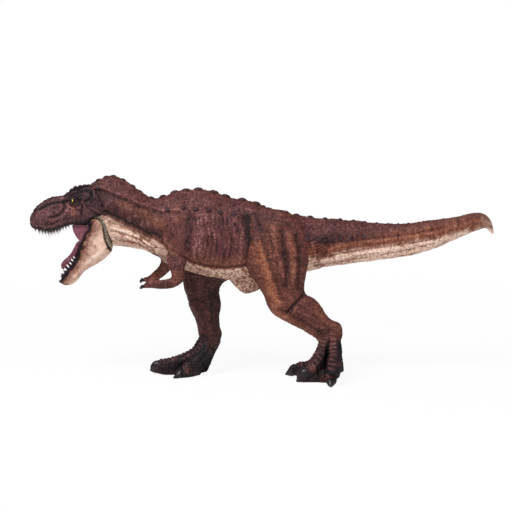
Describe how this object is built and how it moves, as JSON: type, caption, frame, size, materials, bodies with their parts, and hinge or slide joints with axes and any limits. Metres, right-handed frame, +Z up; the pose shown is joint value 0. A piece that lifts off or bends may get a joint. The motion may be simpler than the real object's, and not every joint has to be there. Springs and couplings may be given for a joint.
{
  "type": "toy dinosaur figure",
  "caption": "Standing two-legged meat-eating dinosaur figure in mid stride, mouth wide open, with a hinged lower jaw that closes.",
  "frame": {"origin": "on the ground under the middle of the figure's box, half way from snout to tail tip", "axes": "+Z up, -X towards the snout, +X towards the tail, -Y on the figure's left side"},
  "size_m": [0.3097, 0.0618, 0.1385],
  "materials": {
    "hide": "painted vinyl with a fine moulded skin texture, brown above and cream below",
    "leg_hide": "painted vinyl, reddish brown fading to near black at the feet",
    "jaw_hide": "painted vinyl, cream with a dark lip",
    "throat": "painted vinyl, grey olive",
    "mouth": "painted vinyl, satin pink",
    "teeth": "painted vinyl, satin ivory",
    "eye": "glossy yellow",
    "pin": "plain drawn wire"
  },
  "bodies": {
    "figure": {"torso": "hide", "tail": "hide", "skull": "hide", "palate": "mouth", "upper_teeth": "teeth", "throat_core": "throat", "mouth_lining": "mouth", "jaw_pin": "pin", "eye_left": "eye", "eye_right": "eye", "leg_left": "leg_hide", "leg_right": "leg_hide", "arm_left": "leg_hide", "arm_right": "leg_hide"},
    "jaw": {"lower_jaw": "jaw_hide", "mouth_floor": "mouth", "lower_teeth": "teeth", "tongue": "mouth"}
  },
  "joints": [
    {"name": "jaw_hinge", "type": "hinge", "parent": "figure", "child": "jaw", "pos_m": [-0.11084, 0, 0.10593], "axis": [0, 1, 0], "range_deg": [0, 40]}
  ]
}
